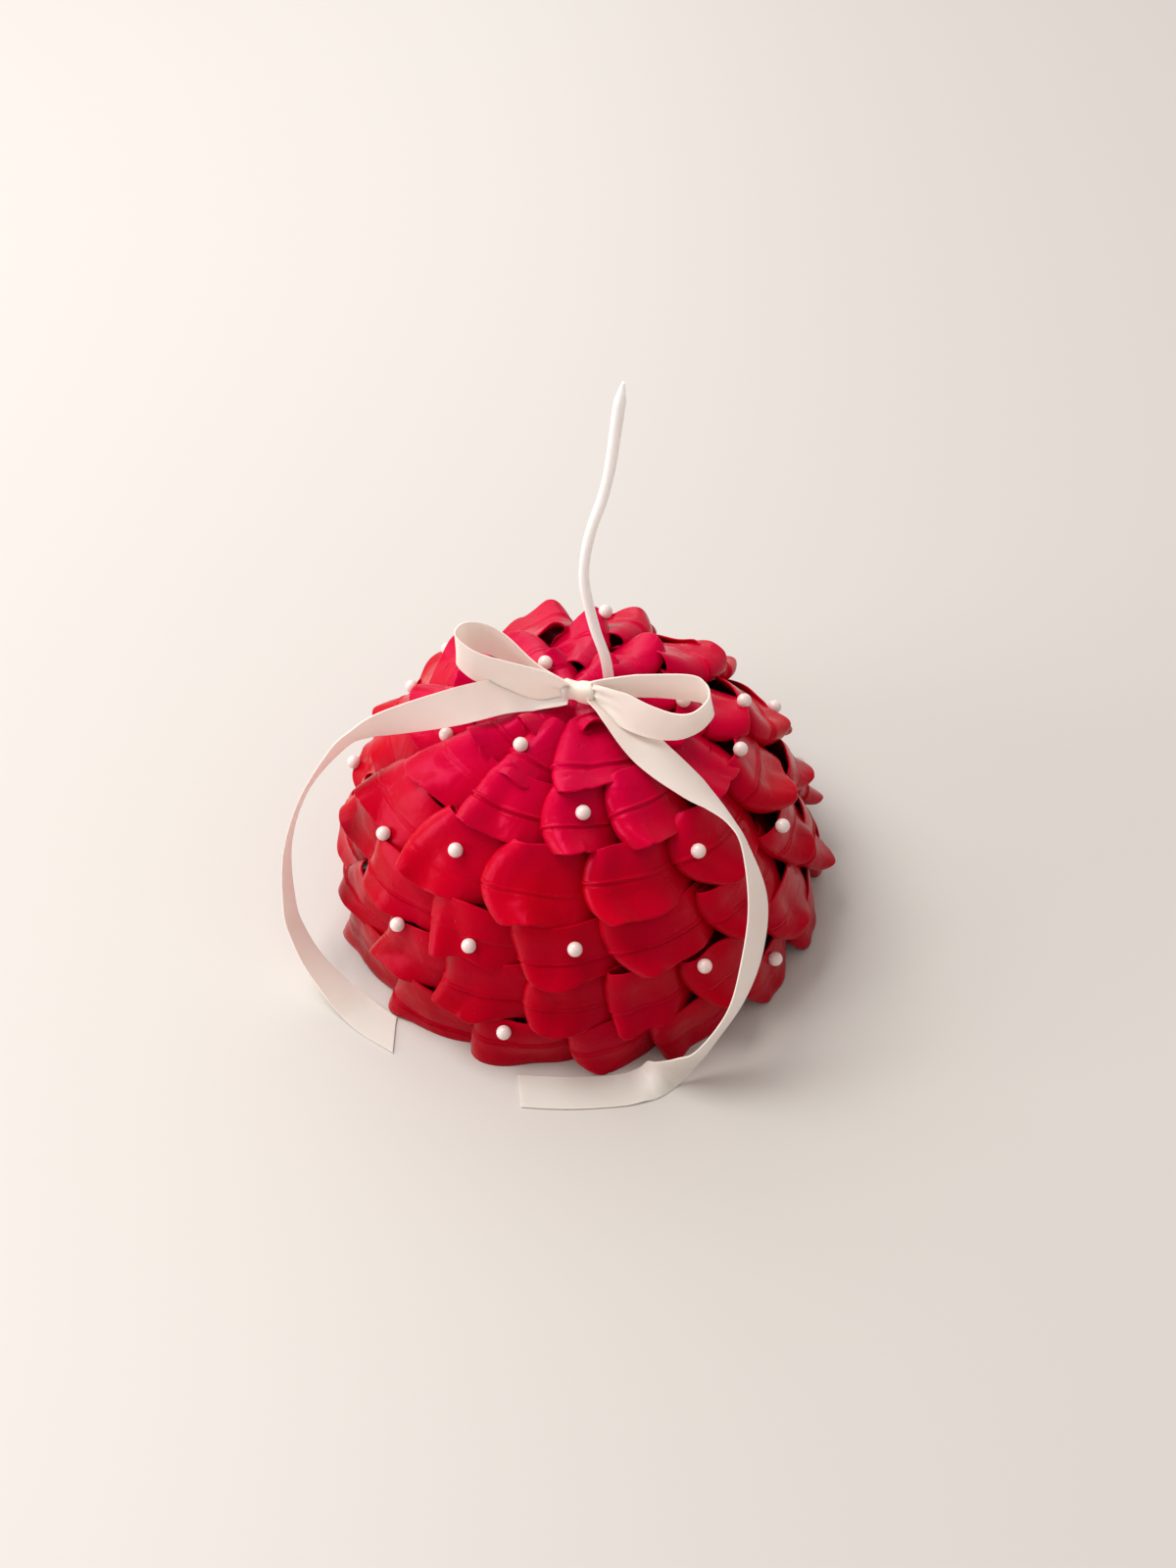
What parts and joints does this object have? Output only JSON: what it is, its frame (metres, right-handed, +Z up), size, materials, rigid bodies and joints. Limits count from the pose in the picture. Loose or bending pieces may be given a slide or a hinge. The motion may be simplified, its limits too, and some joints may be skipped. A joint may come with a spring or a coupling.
{
  "type": "birthday cake",
  "caption": "Small dome cake covered in lapped crimson frosting ruffles with white sugar pearls, a thin wavy candle in its crown and a cream satin ribbon tied in a bow.",
  "frame": {"origin": "centre of the cake's flat base, on the surface it stands on", "axes": "+Z up, front towards -Y, where the bow's knot and both ribbon tails are seen"},
  "size_m": [0.1534, 0.1524, 0.1691],
  "materials": {
    "frosting": "smooth whipped frosting, deep crimson, soft satin sheen",
    "candle_wax": "smooth white candle wax",
    "satin": "cream satin ribbon"
  },
  "bodies": {
    "root": {"cake": "frosting", "candle": "candle_wax", "ribbon": "satin"}
  },
  "joints": []
}
